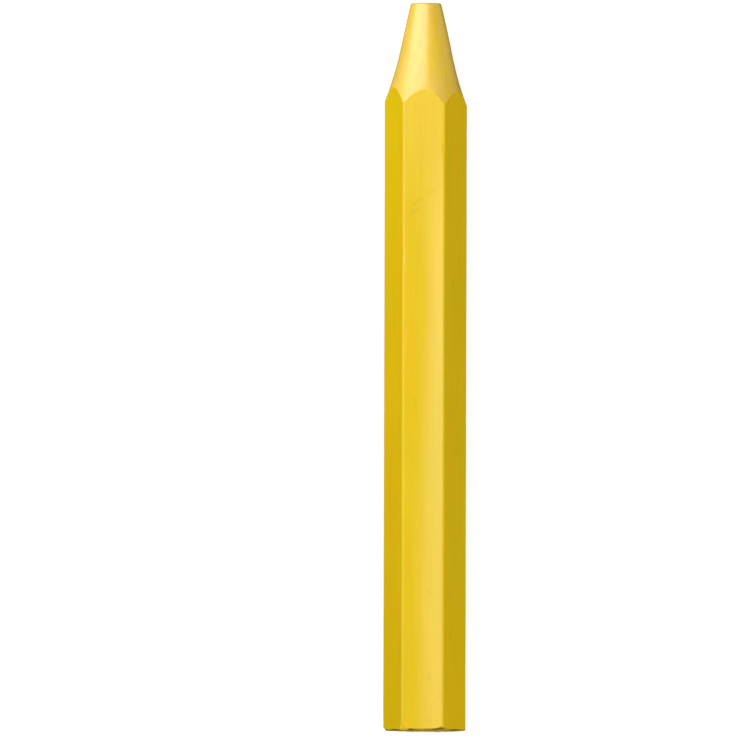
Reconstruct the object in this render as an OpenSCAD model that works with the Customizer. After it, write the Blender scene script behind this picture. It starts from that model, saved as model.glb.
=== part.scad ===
// Hexagonal stick of marking chalk with a sharpened nose, cast in one piece.
// It lies on one flat with its length along Y and its nose towards +Y. The
// origin is the middle of its footprint, on the surface that it rests on.

/* [Stick] */
// Overall length, from the cut end to the blunt tip
stick_length = 114.3; // [60:0.1:160]
// Distance across two opposite flats
across_flats = 11.3; // [8:0.1:16]
// Radius of the six long edges
long_edge_r = 0.42; // [0.35:0.01:0.8]
// Radius of the edge all round the cut end
cut_edge_r = 0.25; // [0.1:0.05:0.3]

/* [Nose] */
// Diameter of the blunt tip, measured where its flat and the cone would meet
tip_d = 4.9; // [3:0.1:6]
// Radius of the edge round the blunt tip
tip_edge_r = 0.3; // [0.1:0.05:0.6]
// Length of the straight cone, from the tip to where it starts to flare
cone_length = 8; // [4:0.5:16]
// Half angle of the straight cone
cone_angle = 12; // [8:0.5:16]
// Radius of the hollow curve that carries the cone out to the flats
flare_r = 52; // [30:1:90]

/* [Hidden] */
$fn = 96;

// A hexagon's corner is this many times further out than its flat
corner_reach = 1 / cos(30);

half_flats = across_flats / 2;
half_corners = half_flats * corner_reach;

// Centre of each long edge's rounding, out from the axis
edge_centre = (half_flats - long_edge_r) * corner_reach;

// Each rounding's radius is this much more than one that only touches the two
// faces it joins. They trim it, and so it crosses them without a sliver.
fullness = 0.01;

// How far a shape runs past the one that trims it
spare = 2;

// Where the straight cone ends and the flare begins, up from the cut end
flare_z = stick_length - cone_length;
flare_start_r = tip_d / 2 + cone_length * tan(cone_angle);

// The stick as it lies
module chalk_stick() {
    color("gold")
        translate([0, -stick_length / 2, half_flats])
            rotate([-90, 0, 0])
                intersection() {
                    sharp_bar();
                    rounded_bar();
                    nose_envelope();
                }
}

// Upright bar with the six flats and the cut end
module sharp_bar() {
    linear_extrude(stick_length + spare)
        circle(half_corners, $fn = 6);
}

// Slightly wider bar with all the edges rounded, which trims the sharp one's
module rounded_bar() {
    for (turn = [30 : 60 : 150])
        rotate([90, 0, turn])
            linear_extrude(edge_centre, center = true) {
                rounded_foot(half_flats);
                mirror([1, 0])
                    rounded_foot(half_flats);
            }
    for (turn = [0 : 60 : 300])
        rotate([0, 0, turn])
            translate([edge_centre, 0, 0])
                rotate_extrude()
                    rounded_foot(long_edge_r);
}

// Half section of a bar whose side is this far out, rounded at its foot
module rounded_foot(reach) {
    inner_reach = reach - cut_edge_r;
    full_r = cut_edge_r + fullness;
    translate([0, -fullness])
        square([inner_reach, stick_length + spare]);
    translate([0, cut_edge_r])
        square([reach + fullness, stick_length + spare]);
    translate([inner_reach, cut_edge_r])
        intersection() {
            circle(full_r);
            translate([0, -full_r])
                square(full_r);
        }
}

// What the sharpening leaves: a cone that flares out past the long edges
module nose_envelope() {
    rotate_extrude()
        difference() {
            union() {
                cone_profile();
                translate([0, -spare])
                    square([half_corners + spare, flare_z + spare]);
            }
            translate([
                flare_start_r + flare_r * cos(cone_angle),
                flare_z + flare_r * sin(cone_angle),
            ])
                circle(flare_r + fullness);
        }
}

// Half section of the straight cone, with a rounded edge at the tip
module cone_profile() {
    arc_r = tip_d / 2 + tip_edge_r * (tan(cone_angle) - 1 / cos(cone_angle));
    arc_z = stick_length - tip_edge_r;
    polygon([
        [0, flare_z],
        [flare_start_r, flare_z],
        [arc_r + tip_edge_r * cos(cone_angle), arc_z + tip_edge_r * sin(cone_angle)],
        [arc_r, stick_length],
        [0, stick_length],
    ]);
    translate([arc_r, arc_z])
        circle(tip_edge_r);
}

chalk_stick();
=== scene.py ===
"""The looks of the hexagonal chalk stick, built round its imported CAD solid.

One closed mesh stands for the solid. It follows the same shank and nose, a little
inside them, and adds what casting and handling leave: slightly hollow flats, dents,
nicks along the edges and a crumbled rim round the cut end. The stick's lengths are in
millimetres until its mesh is made, and the set's are in metres.
"""

import math
from collections import namedtuple

import bpy
import numpy as np
from mathutils import Matrix, Vector, noise

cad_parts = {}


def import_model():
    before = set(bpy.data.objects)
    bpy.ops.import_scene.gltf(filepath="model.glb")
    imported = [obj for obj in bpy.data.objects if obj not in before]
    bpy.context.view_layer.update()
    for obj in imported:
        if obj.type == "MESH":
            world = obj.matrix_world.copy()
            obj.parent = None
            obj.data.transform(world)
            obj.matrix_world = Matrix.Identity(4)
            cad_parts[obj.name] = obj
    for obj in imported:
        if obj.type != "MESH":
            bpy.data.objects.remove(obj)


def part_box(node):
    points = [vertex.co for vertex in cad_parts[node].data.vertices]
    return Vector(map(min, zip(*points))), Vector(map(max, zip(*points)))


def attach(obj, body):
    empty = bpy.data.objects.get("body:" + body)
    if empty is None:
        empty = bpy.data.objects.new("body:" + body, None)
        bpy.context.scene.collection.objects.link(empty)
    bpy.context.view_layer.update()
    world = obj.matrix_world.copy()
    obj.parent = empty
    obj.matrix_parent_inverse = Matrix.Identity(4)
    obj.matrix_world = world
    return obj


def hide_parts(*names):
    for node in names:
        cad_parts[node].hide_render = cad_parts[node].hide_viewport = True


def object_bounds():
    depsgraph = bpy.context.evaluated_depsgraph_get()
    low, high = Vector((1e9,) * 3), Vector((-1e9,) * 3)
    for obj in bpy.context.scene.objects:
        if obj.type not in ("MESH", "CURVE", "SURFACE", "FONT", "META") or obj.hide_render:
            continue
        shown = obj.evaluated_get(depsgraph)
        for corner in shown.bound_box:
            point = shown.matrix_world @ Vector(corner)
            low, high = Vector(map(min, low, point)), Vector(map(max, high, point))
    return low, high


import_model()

MM = 0.001
NODE = "chalk_stick"
CAD_LOW, CAD_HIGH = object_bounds()

# ---------------------------------------------------------------- the stick's sizes
BOX_LOW, BOX_HIGH = (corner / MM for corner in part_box(NODE))
LENGTH = BOX_HIGH.y - BOX_LOW.y
HALF_FLATS = (BOX_HIGH.z - BOX_LOW.z) / 2
AXIS_HEIGHT = (BOX_LOW.z + BOX_HIGH.z) / 2

# The hexagon's section: its long edges are rounded about centres on the way to its
# corners, and a flat's plain part reaches HALF_SIDE each way
SIDES = 6
SIDE_ANGLE = 60
LONG_EDGE_R = 0.42
EDGE_CENTRE = (HALF_FLATS - LONG_EDGE_R) / math.cos(math.radians(SIDE_ANGLE / 2))
HALF_SIDE = EDGE_CENTRE / 2
CUT_EDGE_R = 0.25

# The nose: a cone from the tip, then an arc that flares out to the flats
TIP_R = 2.45
TIP_EDGE_R = 0.3
CONE_LENGTH = 8.0
CONE_ANGLE = math.radians(12)
FLARE_R = 52.0
FLARE_START_R = TIP_R + CONE_LENGTH * math.tan(CONE_ANGLE)
FLARE_CENTRE_R = FLARE_START_R + FLARE_R * math.cos(CONE_ANGLE)
FLARE_CENTRE_S = CONE_LENGTH - FLARE_R * math.sin(CONE_ANGLE)
TIP_ARC_R = TIP_R + TIP_EDGE_R * (math.tan(CONE_ANGLE) - 1 / math.cos(CONE_ANGLE))

# How the flats sank and swelled as the stick set
TOP_HOLLOW = 0.17
SIDE_HOLLOW = 0.01
HOLLOW_RUN = 36.0
HOLLOW_LEAN = 0.09
HOLLOW_SWING = 0.35
HOLLOW_SWING_START = 38.0
HOLLOW_SWING_RUN = 60.0
HOLLOW_CHANGE = 0.15
SETTLE_RUN = 4.0
SWELL = 0.035

# Nicks along the long edges: how rare, how deep, and how soon they show pale chalk
NICK_RARITY = 0.62
NICK_DEPTH = 0.2
NICK_PALENESS = 2.0

# How the sharpening leans, strays from round and scores the nose, and the tip's wear
NOSE_SHIFT = np.array([-0.13, -0.08])
NOSE_LEAN_START = 5.0
NOSE_LEAN_END = 16.0
NOSE_SKEW = 0.012
NOSE_SKEW_SIDE = math.radians(45)
STROKE_DEPTH = 0.025
STROKE_FADE_RUN = 1.5
STROKE_START_RUN = 0.6
STROKE_WRAP = 4
STROKE_DRAW = 0.05
TIP_WEAR = 0.08
TIP_WEAR_RUN = 2.0
TIP_CORE_R = 0.5

# The cut end: how far its face stands back, its crumbs and the shade painted round its
# rim. A break that leans more than FLAT_BREAK degrees from the end face shows pale, and a
# steeper one is painted dark as shade
CUT_END_WEAR = 0.13
CUT_FACE_S = LENGTH - CUT_END_WEAR
CRUMBLE = 0.12
CRUMBLE_RUN = 0.8
FLAT_BREAK = 60
BREAK_DEPTH = 0.12
BREAK_SHADE = 1.8
RIM_SHADE = 0.7

# How finely the mesh follows it
FLAT_STEPS = 24
EDGE_STEPS = 8
SHANK_STEP = 0.3
NOSE_STEP = 0.25
CREASE_STEPS = (0, 0.05, 0.11, 0.18, 0.28, 0.42, 0.6)
RIM_RINGS = 7
CUT_END_SHARES = np.linspace(0.05, 0.95, 22)
TIP_SHARES = np.linspace(0.92, 0.08, 9)

# How far apart the seeds of value_noise lie
NOISE_SHIFTS = (17.3, 5.9, 11.1)

# The order of the stick's materials, and which one each part of the stick wears
SKIN, SHARPENED, CUT_END = range(3)
WEARS = {"end": CUT_END, "rim": CUT_END, "shank": SKIN, "nose": SHARPENED, "tip": SHARPENED}

# A dent, scratch or scuff: the flat it is on, counted from the top towards +X, how far
# it lies from the tip and from the flat's middle line, its size and its slant in degrees
Dent = namedtuple("Dent", "flat along across length width depth slant")
DENTS = [
    Dent(0, 29.9, 1.3, 1.6, 0.5, 0.020, 122),
    Dent(0, 31.3, -0.9, 2.0, 0.5, 0.022, 124),
    Dent(0, 32.8, -1.3, 2.2, 0.5, 0.022, 118),
    Dent(0, 63.0, -1.2, 3.2, 0.3, 0.015, 8),
    Dent(0, 92.5, 1.0, 1.0, 0.5, 0.020, 40),
    Dent(0, 105.8, 1.1, 1.2, 0.3, 0.015, 10),
    Dent(0, 112.7, 1.1, 0.6, 0.4, 0.020, 50),
    Dent(5, 112.8, -0.4, 0.6, 0.5, 0.030, 60),
    Dent(5, 50.8, 0.2, 2.2, 0.4, 0.040, 4),
    Dent(5, 78.0, 1.0, 1.6, 0.3, 0.025, -10),
    Dent(1, 44.0, -0.6, 2.4, 0.3, 0.020, 5),
    Dent(1, 70.5, 0.9, 1.4, 0.5, 0.025, 35),
    Dent(1, 99.0, -1.1, 1.8, 0.4, 0.020, -18),
    Dent(2, 40.0, 0.6, 2.0, 0.5, 0.030, 12),
    Dent(2, 84.0, -1.0, 1.5, 0.6, 0.030, -40),
    Dent(3, 58.0, 0.0, 3.0, 0.6, 0.030, 15),
    Dent(4, 47.0, -0.7, 1.8, 0.5, 0.030, 25),
    Dent(4, 90.0, 0.8, 2.4, 0.3, 0.020, -6),
]

# A chip broken from the rim of the cut end by one flat break: the direction round the
# stick in degrees from the top towards +X, how far out from the axis the break starts
# on the end face, and how far it leans from the end face, in degrees
Chip = namedtuple("Chip", "around reach lean")
CHIPS = [
    Chip(-23, 5.88, 72),
    Chip(-16, 5.72, 50),
    Chip(-8, 5.44, 46),
    Chip(5, 5.47, 42),
    Chip(15, 5.52, 45),
    Chip(-40, 6.15, 48),
    Chip(-62, 5.45, 50),
    Chip(-88, 5.93, 55),
    Chip(30, 6.22, 45),
    Chip(52, 5.47, 50),
    Chip(88, 6.22, 42),
    Chip(118, 5.45, 50),
    Chip(152, 6.05, 40),
    Chip(184, 5.42, 47),
    Chip(213, 6.10, 50),
    Chip(246, 5.46, 44),
    Chip(268, 6.20, 40),
]

# The stick ring by ring, from the cut end to the tip. Each ring has its points in the
# section plane, their distances from the tip, and the part of the stick it is on. The
# rest is the same for every ring, once for each point of the section.
Rings = namedtuple("Rings", "points s part scallop normals flats across edge")


# ---------------------------------------------------------------- the shape, unworn
def nose_radius(s):
    """Radius that the sharpening leaves, at a distance from the tip."""
    cone = TIP_R + s * math.tan(CONE_ANGLE)
    rise = np.clip(s - FLARE_CENTRE_S, 0, FLARE_R)
    flare = FLARE_CENTRE_R - np.sqrt(FLARE_R**2 - rise**2)
    return np.where(s < CONE_LENGTH, cone, flare)


def nose_distance(radius):
    """Distance from the tip at which the flare has that radius."""
    return FLARE_CENTRE_S + np.sqrt(FLARE_R**2 - (FLARE_CENTRE_R - radius) ** 2)


def eased(value):
    """Runs from 0 to 1 as the value does, without a corner at either end."""
    value = np.clip(value, 0, 1)
    return value * value * (3 - 2 * value)


def nose_axis(s):
    """Where the sharpening's axis passes at a distance from the tip: it leans a little."""
    lean = eased((s - NOSE_LEAN_START) / (NOSE_LEAN_END - NOSE_LEAN_START))
    return lean[..., None] * NOSE_SHIFT


def out_of_round(direction):
    """How much wider than true the blade left the nose in a direction round it."""
    around = np.arctan2(direction[..., 0], direction[..., 1])
    return 1 + NOSE_SKEW * np.sin(SIDES * around) * np.cos(around - NOSE_SKEW_SIDE)


def outward(turn):
    """Unit vector across the stick, turned from straight up towards +X."""
    return np.array([math.sin(turn), math.cos(turn)])


def section():
    """One turn round the shank, with plain flats: points, normals, which flat each is
    on, its place across that flat from -1 to 1, and how far round a long edge it is."""
    points, normals, flats, across, edge = [], [], [], [], []
    for flat in range(SIDES):
        middle = math.radians(SIDE_ANGLE * flat)
        out = outward(middle)
        side = np.array([out[1], -out[0]])
        for step in range(FLAT_STEPS):
            place = -1 + 2 * step / FLAT_STEPS
            points.append(HALF_FLATS * out + place * HALF_SIDE * side)
            normals.append(out)
            flats.append(flat)
            across.append(place)
            edge.append(0.0)
        centre = EDGE_CENTRE * outward(middle + math.radians(SIDE_ANGLE / 2))
        for step in range(EDGE_STEPS):
            share = step / EDGE_STEPS
            arc_out = outward(middle + math.radians(SIDE_ANGLE) * share)
            points.append(centre + LONG_EDGE_R * arc_out)
            normals.append(arc_out)
            flats.append(flat if share < 0.5 else (flat + 1) % SIDES)
            across.append(1.0 if share < 0.5 else -1.0)
            edge.append(math.sin(math.pi * share))
    return tuple(np.array(part) for part in (points, normals, flats, across, edge))


def spaced(reach, step, ends):
    """Places from 0 to reach, closer together at the start, and at the end on request."""
    start = list(CREASE_STEPS)
    finish = [reach - gap for gap in reversed(CREASE_STEPS)] if ends else [reach]
    count = max(1, round((finish[0] - start[-1]) / step))
    middle = [start[-1] + (finish[0] - start[-1]) * i / count for i in range(1, count)]
    return np.array(start + middle + finish)


def cut_end_rings(points, normals):
    """The cut end, from its middle out and round its rim."""
    rings = []
    everywhere = np.ones(len(points))
    inner = points - CUT_EDGE_R * normals
    for share in CUT_END_SHARES:
        rings.append((inner * share, CUT_FACE_S * everywhere, "end"))
    for turn in np.radians(np.linspace(0, 90, RIM_RINGS)):
        s = CUT_FACE_S - CUT_EDGE_R * (1 - math.cos(turn))
        rings.append((inner + CUT_EDGE_R * math.sin(turn) * normals, s * everywhere, "rim"))
    return rings


def shank_rings(points, scallop):
    """The shank, from just past the rim, which has its first ring, to the scallops."""
    rings = []
    shank_end = CUT_FACE_S - CUT_EDGE_R
    mean_run = shank_end - scallop.mean()
    for share in spaced(mean_run, SHANK_STEP, ends=True)[::-1][1:] / mean_run:
        rings.append((points, scallop + (shank_end - scallop) * share, "shank"))
    return rings


def nose_rings(direction, round_error, scallop):
    """The nose, from the scallops to the rim of the tip and in to the tip's middle."""
    rings = []
    everywhere = np.ones(len(scallop))
    arc_end = TIP_EDGE_R * (1 - math.sin(CONE_ANGLE))
    mean_run = scallop.mean() - arc_end
    for share in spaced(mean_run, NOSE_STEP, ends=False)[1:] / mean_run:
        s = scallop + (arc_end - scallop) * share
        radius = nose_radius(s) * round_error
        rings.append((nose_axis(s) + direction * radius[:, None], s, "nose"))
    for turn in np.linspace(math.pi / 2 - CONE_ANGLE, 0, RIM_RINGS)[1:]:
        radius = TIP_ARC_R + TIP_EDGE_R * math.sin(turn)
        s = TIP_EDGE_R * (1 - math.cos(turn))
        rings.append((direction * radius, s * everywhere, "tip"))
    for share in TIP_SHARES:
        rings.append((direction * TIP_ARC_R * share, 0 * everywhere, "tip"))
    return rings


def build_rings():
    """The whole stick's rings, before any wear."""
    points, normals, flats, across, edge = section()
    from_nose = points - NOSE_SHIFT
    reach = np.linalg.norm(from_nose, axis=1)
    direction = from_nose / reach[:, None]
    round_error = out_of_round(direction)
    scallop = nose_distance(reach / round_error)

    rings = cut_end_rings(points, normals) + shank_rings(points, scallop)
    rings += nose_rings(direction, round_error, scallop)
    points, s, part = (np.array(values) for values in zip(*rings))
    return Rings(points, s, part, scallop, normals, flats, across, edge)


def on(rings, *parts):
    """Which rings are on those parts of the stick, as a column."""
    return np.isin(rings.part, parts)[:, None]


# ---------------------------------------------------------------- the wear
def value_noise(points, size, seed):
    """Smooth noise from about -1 to 1 at each point, with features of that size."""
    shift = Vector([seed * apart for apart in NOISE_SHIFTS])
    values = [noise.noise(Vector(point) / size + shift) for point in points.reshape(-1, 3)]
    return np.array(values).reshape(points.shape[:-1])


def hollows(rings, past):
    """How far each flat sank as the stick set: the upper one most, away from the nose,
    and along a line that swings from side to side."""
    swing = np.cos(math.pi * (rings.s - HOLLOW_SWING_START) / HOLLOW_SWING_RUN)
    lopsided = 1 + (HOLLOW_LEAN + HOLLOW_SWING * swing) * rings.across
    top = TOP_HOLLOW * eased(past / HOLLOW_RUN) * lopsided
    side = SIDE_HOLLOW * eased(past / SETTLE_RUN)
    return np.where(rings.flats == 0, top, side) * (1 - rings.across**2)


def swells(place):
    """How far casting left the shank below its true surface, by long soft waves."""
    wave = 0.6 * value_noise(place, size=11, seed=1) + 0.3 * value_noise(place, size=4.5, seed=2)
    return SWELL * (0.5 + 0.5 * np.clip(wave, -1, 1))


def nicks(place, edge):
    """How strongly each point of a long edge is nicked."""
    rough = value_noise(place, size=1.1, seed=4) + 0.4 * value_noise(place, size=5, seed=5)
    return np.clip(rough - NICK_RARITY, 0, 1) * edge


def dented(rings):
    """Depth of the dents and scuffs at each point, and how strongly they mark it."""
    depth = np.zeros(rings.s.shape)
    scuff_and_shade = np.zeros(rings.s.shape)
    for dent in DENTS:
        slant = math.radians(dent.slant)
        along = rings.s - dent.along
        aside = rings.across * HALF_SIDE - dent.across
        u = along * math.cos(slant) + aside * math.sin(slant)
        v = aside * math.cos(slant) - along * math.sin(slant)
        shape = np.exp(-((2 * u / dent.length) ** 2) - (2 * v / dent.width) ** 2)
        shape = shape * (rings.flats == dent.flat)
        depth += dent.depth * shape
        scuff_and_shade = np.maximum(scuff_and_shade, shape)
    return depth, scuff_and_shade


def worn_shank(rings):
    """The rings' points once the shank has sunk, swelled and been knocked about, and how
    strongly each point is rubbed pale and scuffed."""
    place = np.stack([rings.points[..., 0], rings.s, rings.points[..., 1]], axis=-1)
    past = rings.s - rings.scallop
    sink = hollows(rings, past) * (rings.edge == 0)
    sink = sink * (1 + HOLLOW_CHANGE * value_noise(place, size=16, seed=3))
    depth, scuff_and_shade = dented(rings)
    nick = nicks(place, rings.edge)
    inward = sink + swells(place) * eased(past / SETTLE_RUN) + depth + NICK_DEPTH * nick

    shank = on(rings, "shank")
    points = rings.points - rings.normals * (inward * shank)[..., None]
    rubbed = np.clip(NICK_PALENESS * nick, 0, 1)
    return points, rubbed * shank, scuff_and_shade * shank


def strokes(direction, s):
    """How far the blade's strokes cut below the nose's true surface."""
    across, up = direction[..., 0], direction[..., 1]
    wrapped = np.stack([across * STROKE_WRAP, s * STROKE_DRAW, up * STROKE_WRAP], axis=-1)
    cut = value_noise(wrapped, size=0.9, seed=7) + 0.3 * value_noise(wrapped, size=0.3, seed=8)
    return STROKE_DEPTH * (0.5 + 0.5 * np.clip(cut, -1, 1))


def worn_nose(points, rings):
    """The points once the blade has scored the nose, and the tip is worn slimmer."""
    axis = nose_axis(rings.s)
    from_axis = points - axis
    radius = np.linalg.norm(from_axis, axis=-1)
    fade = np.clip((rings.scallop - rings.s) / STROKE_FADE_RUN, 0, 1)
    cut = strokes(from_axis / radius[..., None], rings.s) * fade * on(rings, "nose")
    cut = cut * np.clip(rings.s / STROKE_START_RUN, 0, 1)
    sharpened = on(rings, "nose", "tip")
    wear = TIP_WEAR * np.exp(-rings.s / TIP_WEAR_RUN) * sharpened
    slimmer = 1 - (cut + wear) / np.maximum(radius, wear + TIP_CORE_R)
    return np.where(sharpened[..., None], axis + from_axis * slimmer[..., None], points)


def chipped(verts):
    """The cut end with what lies beyond each break cut back to it, and how far each point
    shows a long flat break, which is pale, or a short steep one, which is painted dark as shade."""
    pale = np.zeros(verts.shape[:2])
    dark = np.zeros(verts.shape[:2])
    for chip in CHIPS:
        lean = math.radians(chip.lean)
        x, z = outward(math.radians(chip.around))
        radial = np.array([x, 0, z])
        away = radial * math.sin(lean) + np.array([0, -math.cos(lean), 0])
        start = radial * chip.reach + np.array([0, -LENGTH / 2, 0])
        past = np.clip((verts - start) @ away, 0, None)
        verts = verts - past[..., None] * away
        shows = pale if chip.lean > FLAT_BREAK else dark
        np.maximum(shows, np.clip(past / BREAK_DEPTH, 0, 1), out=shows)
    return verts, pale, dark


def crumbs(verts, s):
    """How far the broken chalk of the cut end stands back from its face."""
    rough = 0.6 * value_noise(verts, size=1.3, seed=9) + 0.4 * value_noise(verts, size=0.45, seed=10)
    fade = 1 - np.clip((LENGTH - s) / CRUMBLE_RUN, 0, 1)
    return CRUMBLE * np.clip(0.5 + rough, 0, 1) * fade


# ---------------------------------------------------------------- the mesh
def ring_faces(n_rings, n_round):
    """Faces between neighbouring rings, and the fans that close the two ends."""
    faces = []
    for ring in range(n_rings - 1):
        here, there = ring * n_round, (ring + 1) * n_round
        for k in range(n_round):
            after = (k + 1) % n_round
            faces.append((here + k, there + k, there + after, here + after))
    cut_middle, tip_middle = n_rings * n_round, n_rings * n_round + 1
    last = (n_rings - 1) * n_round
    for k in range(n_round):
        after = (k + 1) % n_round
        faces.append((cut_middle, k, after))
        faces.append((tip_middle, last + after, last + k))
    return faces


def face_materials(part, n_round):
    """The material that each of those faces wears."""
    wears = []
    for ring in range(1, len(part)):
        wears += [WEARS[part[ring]]] * n_round
    return wears + [CUT_END, SHARPENED] * n_round


def add_mark(mesh, name, values):
    """Stores a mark on the mesh's points. The middles of the two ends have none."""
    attribute = mesh.attributes.new(name, "FLOAT", "POINT")
    values = np.append(values.ravel(), [0, 0]).astype(np.float32)
    attribute.data.foreach_set("value", values)


def stick_mesh():
    """The whole stick as one closed mesh, with the marks that its materials read."""
    rings = build_rings()
    points, rubbed, scuff_and_shade = worn_shank(rings)
    points = worn_nose(points, rings)
    verts = np.stack([points[..., 0], LENGTH / 2 - rings.s, points[..., 1]], axis=-1)
    verts, pale, dark = chipped(verts)
    verts[..., 1] += crumbs(verts, rings.s)
    # The rim round the cut end is painted dark as shade, unevenly, except where a flat break shows
    # pale
    rim_shade = np.clip(RIM_SHADE + value_noise(verts, size=1.7, seed=11), 0, 1)

    cut_face = verts[0, :, 1].mean()
    middles = [[0, cut_face, 0], [0, LENGTH / 2, 0]]
    corners = np.vstack([verts.reshape(-1, 3), middles])
    corners[:, 2] += AXIS_HEIGHT
    n_rings, n_round = rings.s.shape
    faces = ring_faces(n_rings, n_round)
    mesh = bpy.data.meshes.new(NODE + "_looks")
    mesh.from_pydata((corners * MM).tolist(), [], faces)
    mesh.polygons.foreach_set("use_smooth", [True] * len(faces))

    # Steep breaks near the cut end are painted dark as shade, on top of the dents' scuffs
    scuff_and_shade = np.maximum(BREAK_SHADE * dark, scuff_and_shade)
    add_mark(mesh, "fresh", np.maximum(pale, rubbed))
    add_mark(mesh, "scuff_and_shade", np.where(on(rings, "rim"), rim_shade * (1 - pale), scuff_and_shade))
    add_mark(mesh, "long_edge", rings.edge * on(rings, "shank"))
    mesh.polygons.foreach_set("material_index", face_materials(rings.part, n_round))
    mesh.validate()
    mesh.update()
    return mesh


# ---------------------------------------------------------------- the materials
def linear(red, green, blue):
    """Linear colour from 0 to 255 display values."""
    def one(value):
        share = value / 255
        return share / 12.92 if share <= 0.04045 else ((share + 0.055) / 1.055) ** 2.4
    return (one(red), one(green), one(blue), 1.0)


WHITE = (1.0, 1.0, 1.0, 1.0)
FLOOR_GREY = (0.38, 0.38, 0.38, 1.0)

SKIN_ORANGE = linear(234, 188, 2)
SKIN_GREENISH = linear(224, 193, 2)
SKIN_PATCH = linear(234, 197, 4)
SKIN_STREAK = linear(216, 178, 1)
SKIN_PALE_GRAIN = linear(240, 208, 40)
SKIN_DARK_GRAIN = linear(190, 150, 0)
SKIN_FRESH = linear(242, 204, 30)
# Scuffs on the flats, and the painted shade of steep breaks near the cut end
SKIN_SCUFF_AND_SHADE = linear(190, 158, 6)

NOSE_YELLOW = linear(247, 208, 40)
NOSE_PINKISH = linear(245, 199, 56)
NOSE_PATCH = linear(249, 209, 98)
NOSE_STREAK = linear(236, 188, 34)
NOSE_PALE_GRAIN = linear(248, 226, 130)
NOSE_DARK_GRAIN = linear(196, 152, 30)

# The cut end's chalk, with its low crumbs and its pits painted darker as shade in the hollows
CUT_DEEP_SHADE = linear(198, 162, 14)
CUT_HIGH = linear(230, 194, 38)
CUT_FRESH = linear(226, 190, 30)
# Painted shade round the cut end's rim and on its steep breaks
CUT_PAINTED_SHADE = linear(96, 78, 5)
CUT_PIT_SHADE = linear(92, 74, 5)


class Graph:
    """A material's node tree, with a short call for each kind of node."""

    def __init__(self, name):
        self.material = bpy.data.materials.new(name)
        self.material.use_nodes = True
        self.tree = self.material.node_tree
        self.shader = self.tree.nodes["Principled BSDF"]

    def put(self, socket, value):
        if isinstance(value, bpy.types.NodeSocket):
            self.tree.links.new(value, socket)
        else:
            socket.default_value = value

    def shade(self, name, value):
        """Puts a value or a link on one of the shader's own sockets."""
        self.put(self.shader.inputs[name], value)

    def add(self, kind, values=(), **settings):
        made = self.tree.nodes.new("ShaderNode" + kind)
        for key, value in settings.items():
            setattr(made, key, value)
        for key, value in dict(values).items():
            self.put(made.inputs[key], value)
        return made

    def math(self, operation, a, b=0.0, clamp=False):
        return self.add("Math", {0: a, 1: b}, operation=operation, use_clamp=clamp).outputs[0]

    def times(self, a, b):
        return self.math("MULTIPLY", a, b)

    def scaled(self, vector, scale):
        return self.add("VectorMath", {0: vector, 1: scale}, operation="MULTIPLY").outputs[0]

    def millimetres(self):
        return self.scaled(self.add("TexCoord").outputs["Object"], (1 / MM,) * 3)

    def drawn_out(self, place, share):
        """A place for patterns that run along the stick, the smaller the share the longer."""
        return self.scaled(place, (1.0, share, 1.0))

    def noise(self, vector, scale, detail=2.0, roughness=0.5):
        values = {"Vector": vector, "Scale": scale, "Detail": detail, "Roughness": roughness}
        return self.add("TexNoise", values).outputs["Fac"]

    def ranged(self, value, low, high, to_low=0.0, to_high=1.0):
        values = {0: value, 1: low, 2: high, 3: to_low, 4: to_high}
        return self.add("MapRange", values).outputs[0]

    def mix(self, share, a, b):
        made = self.add("Mix", data_type="RGBA", blend_type="MIX")
        self.put(made.inputs[0], share)
        self.put(made.inputs[6], a)
        self.put(made.inputs[7], b)
        return made.outputs[2]

    def tinted(self, colour, tint, most, pattern, none_at, most_at):
        """Mixes a tint into a colour, none where the pattern has its first level and the
        most where it has its second."""
        return self.mix(self.ranged(pattern, none_at, most_at, 0.0, most), colour, tint)

    def attribute(self, name):
        return self.add("Attribute", attribute_name=name).outputs["Fac"]

    def bump(self, height, strength, depth):
        """Roughens the surface by a height from 0 to 1, times a depth in millimetres."""
        values = {"Height": height, "Strength": strength, "Distance": depth * MM}
        self.shade("Normal", self.add("Bump", values).outputs[0])


def skin_material():
    """The cast skin: deep yellow wax-bound chalk, softly glossy."""
    g = Graph("chalk_skin")
    mm = g.millimetres()
    fresh = g.attribute("fresh")
    scuff_and_shade = g.attribute("scuff_and_shade")

    # Soft blotches, some more orange and some greener, and fine lengthwise streaks
    blotch = g.noise(g.drawn_out(mm, 0.07), scale=0.5, detail=3.0)
    patch = g.noise(g.drawn_out(mm, 0.35), scale=0.16)
    streak = g.noise(g.drawn_out(mm, 0.045), scale=1.6, detail=4.0, roughness=0.6)
    colour = g.mix(g.ranged(blotch, 0.38, 0.62), SKIN_ORANGE, SKIN_GREENISH)
    colour = g.tinted(colour, SKIN_PATCH, 0.5, patch, 0.38, 0.62)
    colour = g.tinted(colour, SKIN_STREAK, 0.35, streak, 0.35, 0.7)

    # Filler grains, the paler chalk that nicks and breaks show, and scuffs, which near the
    # cut end also carry the shade painted on steep breaks
    grain = g.noise(mm, scale=5.0, roughness=0.7)
    colour = g.tinted(colour, SKIN_PALE_GRAIN, 0.2, grain, 0.62, 0.75)
    colour = g.tinted(colour, SKIN_DARK_GRAIN, 0.25, grain, 0.34, 0.25)
    colour = g.mix(g.times(fresh, 0.5), colour, SKIN_FRESH)
    g.shade("Base Color", g.mix(g.times(scuff_and_shade, 0.35), colour, SKIN_SCUFF_AND_SHADE))

    # Glossy on the flats, and matt where it is rubbed or broken
    gloss = g.noise(g.drawn_out(mm, 0.06), scale=0.9, detail=3.0)
    rubbed = g.math("MAXIMUM", fresh, g.attribute("long_edge"))
    rough = g.ranged(gloss, 0.25, 0.75, 0.21, 0.28)
    g.shade("Roughness", g.math("ADD", rough, g.times(rubbed, 0.4), clamp=True))
    g.shade("IOR", 1.58)
    height = g.math("ADD", g.times(streak, 0.6), g.times(grain, 0.25))
    g.bump(height, strength=0.3, depth=0.02)
    return g.material


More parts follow.
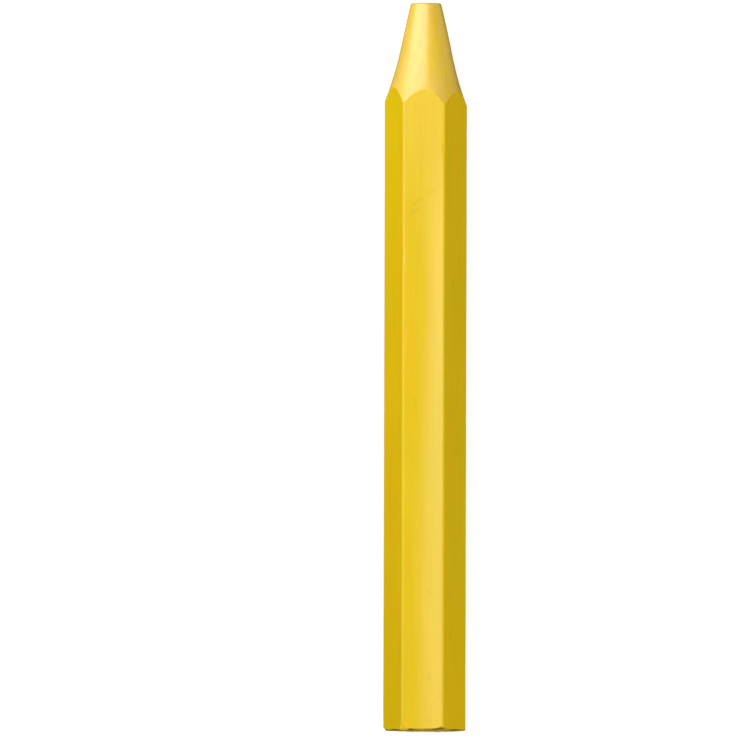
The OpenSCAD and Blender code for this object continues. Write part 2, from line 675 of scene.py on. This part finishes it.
def sharpened_material():
    """The nose: paler chalk that a blade has burnished, streaked where it dragged."""
    g = Graph("chalk_sharpened")
    mm = g.millimetres()
    drag = g.noise(g.drawn_out(mm, 0.07), scale=1.4, detail=4.0, roughness=0.55)
    patch = g.noise(g.drawn_out(mm, 0.3), scale=0.5, detail=3.0)
    streak = g.noise(g.drawn_out(mm, 0.04), scale=2.6)
    colour = g.mix(g.ranged(drag, 0.35, 0.65), NOSE_YELLOW, NOSE_PINKISH)
    colour = g.tinted(colour, NOSE_PATCH, 0.8, patch, 0.42, 0.7)
    colour = g.tinted(colour, NOSE_STREAK, 0.45, streak, 0.53, 0.74)

    grain = g.noise(mm, scale=6.0, roughness=0.7)
    colour = g.tinted(colour, NOSE_PALE_GRAIN, 0.3, grain, 0.60, 0.75)
    g.shade("Base Color", g.tinted(colour, NOSE_DARK_GRAIN, 0.3, grain, 0.36, 0.26))

    # A burnished surface under a broader sheen
    g.shade("Roughness", g.ranged(patch, 0.3, 0.7, 0.37, 0.43))
    g.shade("IOR", 1.55)
    g.shade("Specular IOR Level", 1.0)
    g.shade("Coat Weight", 1.0)
    g.shade("Coat Roughness", 0.6)
    height = g.math("ADD", g.times(drag, 0.6), g.times(grain, 0.4))
    g.bump(height, strength=0.3, depth=0.02)
    return g.material


def cut_end_material():
    """The cut end: matt broken chalk, with pits between its grains. Its low crumbs and its pits are
    painted darker as shade in the hollows, and its rim and steep breaks are painted dark as shade.
    """
    g = Graph("chalk_cut_end")
    mm = g.millimetres()
    crumb = g.noise(mm, scale=1.6, detail=4.0, roughness=0.65)
    pit = g.noise(mm, scale=4.5, roughness=0.6)
    # Low crumbs are painted darker than high ones, as shade in the hollows
    colour = g.mix(g.ranged(crumb, 0.3, 0.65), CUT_DEEP_SHADE, CUT_HIGH)
    colour = g.mix(g.times(g.attribute("fresh"), 0.5), colour, CUT_FRESH)
    # Painted shade round the rim and on steep breaks
    colour = g.mix(g.times(g.attribute("scuff_and_shade"), 0.85), colour, CUT_PAINTED_SHADE)
    # The pits are painted darker still, as shade
    g.shade("Base Color", g.tinted(colour, CUT_PIT_SHADE, 0.6, pit, 0.42, 0.30))
    g.shade("Roughness", 0.75)
    g.bump(g.math("ADD", crumb, g.times(pit, 0.6)), strength=0.7, depth=0.12)
    return g.material


def floor_material():
    """Pale and plain, with a glow that evens out how the lights fall off far away."""
    g = Graph("floor")
    g.shade("Base Color", FLOOR_GREY)
    g.shade("Roughness", 0.9)
    g.shade("Specular IOR Level", 0.0)
    g.shade("Emission Color", WHITE)
    place = g.add("TexCoord").outputs["Object"]
    away = g.add("VectorMath", {0: place}, operation="LENGTH").outputs["Value"]
    glow = g.ranged(away, 0.1, 0.8, 0.75, 1.0)
    seen = g.add("LightPath").outputs["Is Camera Ray"]
    g.shade("Emission Strength", g.times(glow, seen))
    return g.material


# ---------------------------------------------------------------- the object
def new_object(name, data):
    made = bpy.data.objects.new(name, data)
    bpy.context.scene.collection.objects.link(made)
    return made


stick = new_object(NODE + "_looks", stick_mesh())
for material in (skin_material(), sharpened_material(), cut_end_material()):
    stick.data.materials.append(material)
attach(stick, "root")
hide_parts(NODE)

# ---------------------------------------------------------------- the set, in metres
FLOOR_SIZE = 6.0
AMBIENT = 0.12
SENSOR_WIDTH = 36
CAMERA_DISTANCE = 3.0
FRAME_WIDTH = 0.1154
CAMERA_AIM = Vector((-0.00898, -0.00008, HALF_FLATS * MM))
CAMERA_ASIDE = math.radians(3.2)
CAMERA_AHEAD = math.radians(-2.4)
CAMERA_ROLL = 0.15
SOFTBOX_AIM = Vector((0, 0.478, 0))
FILL_AIM = Vector((0, 0.02, 0))
NOSE_AIM = Vector((0, 0.05, 0.005))


def floor():
    """The plain sheet that the stick lies on."""
    half = FLOOR_SIZE / 2
    corners = [(-half, -half, 0), (half, -half, 0), (half, half, 0), (-half, half, 0)]
    mesh = bpy.data.meshes.new("floor")
    mesh.from_pydata(corners, [], [(0, 1, 2, 3)])
    mesh.materials.append(floor_material())
    made = new_object("floor", mesh)
    made.location.z = CAD_LOW.z
    made.visible_glossy = False


def world():
    """Faint even light all round, which the camera sees as plain white."""
    made = bpy.data.worlds.new("world")
    bpy.context.scene.world = made
    made.use_nodes = True
    nodes, links = made.node_tree.nodes, made.node_tree.links
    background = nodes["Background"]
    background.inputs["Color"].default_value = WHITE
    background.inputs["Strength"].default_value = AMBIENT
    shown = nodes.new("ShaderNodeBackground")
    shown.inputs["Strength"].default_value = 1.0
    path = nodes.new("ShaderNodeLightPath")
    mix = nodes.new("ShaderNodeMixShader")
    links.new(path.outputs["Is Camera Ray"], mix.inputs[0])
    links.new(background.outputs[0], mix.inputs[1])
    links.new(shown.outputs[0], mix.inputs[2])
    links.new(mix.outputs[0], nodes["World Output"].inputs["Surface"])
    made.cycles_visibility.glossy = False
    made.cycles.sampling_method = "NONE"


def look_at(made, aim, back, distance, roll):
    """Puts a light or camera at a distance from its aim in a direction, looking at the
    aim with +Y up, and turned by a roll in degrees."""
    right = Vector((0, 1, 0)).cross(back).normalized()
    level = Matrix((right, back.cross(right), back)).transposed()
    made.location = aim + back * distance
    made.rotation_mode = "QUATERNION"
    made.rotation_quaternion = (level @ Matrix.Rotation(math.radians(roll), 3, "Z")).to_quaternion()


def area_light(name, aim, leftward, noseward, distance, size, radiance, roll=0.0):
    """A rectangular light, at angles in degrees from straight above the point it aims at.
    Radiance is how bright its face is, where 1 shows as white."""
    data = bpy.data.lights.new(name, "AREA")
    data.shape = "RECTANGLE"
    data.size, data.size_y = size
    data.energy = radiance * math.pi * size[0] * size[1]
    side, ahead = math.radians(leftward), math.radians(noseward)
    x = -math.sin(side) * math.cos(ahead)
    z = math.cos(side) * math.cos(ahead)
    made = new_object(name, data)
    look_at(made, aim, Vector((x, math.sin(ahead), z)), distance, roll)
    made.visible_camera = False
    return made


def camera():
    """Looks down on the stick, from a little to its right and towards its cut end."""
    data = bpy.data.cameras.new("camera")
    data.sensor_width = SENSOR_WIDTH
    data.lens = SENSOR_WIDTH * CAMERA_DISTANCE / FRAME_WIDTH
    data.clip_start, data.clip_end = 0.05, 20
    made = new_object("camera", data)
    bpy.context.scene.camera = made
    back = Vector((math.tan(CAMERA_ASIDE), math.tan(CAMERA_AHEAD), 1)).normalized()
    look_at(made, CAMERA_AIM, back, CAMERA_DISTANCE, CAMERA_ROLL)


floor()
world()
camera()
area_light("softbox", SOFTBOX_AIM, leftward=38.5, noseward=0.0,
           distance=0.9, size=(1.30, 1.039), radiance=2.55, roll=-5.0)
fill = area_light("fill", FILL_AIM, leftward=-36.8, noseward=-26.0,
                  distance=1.3, size=(1.6, 1.6), radiance=1.95)
kicker = area_light("kicker", NOSE_AIM, leftward=70.0, noseward=20.0,
                    distance=0.15, size=(0.08, 0.08), radiance=3.1)
for light in (fill, kicker):
    light.visible_glossy = False
bpy.context.scene.view_settings.view_transform = "Standard"
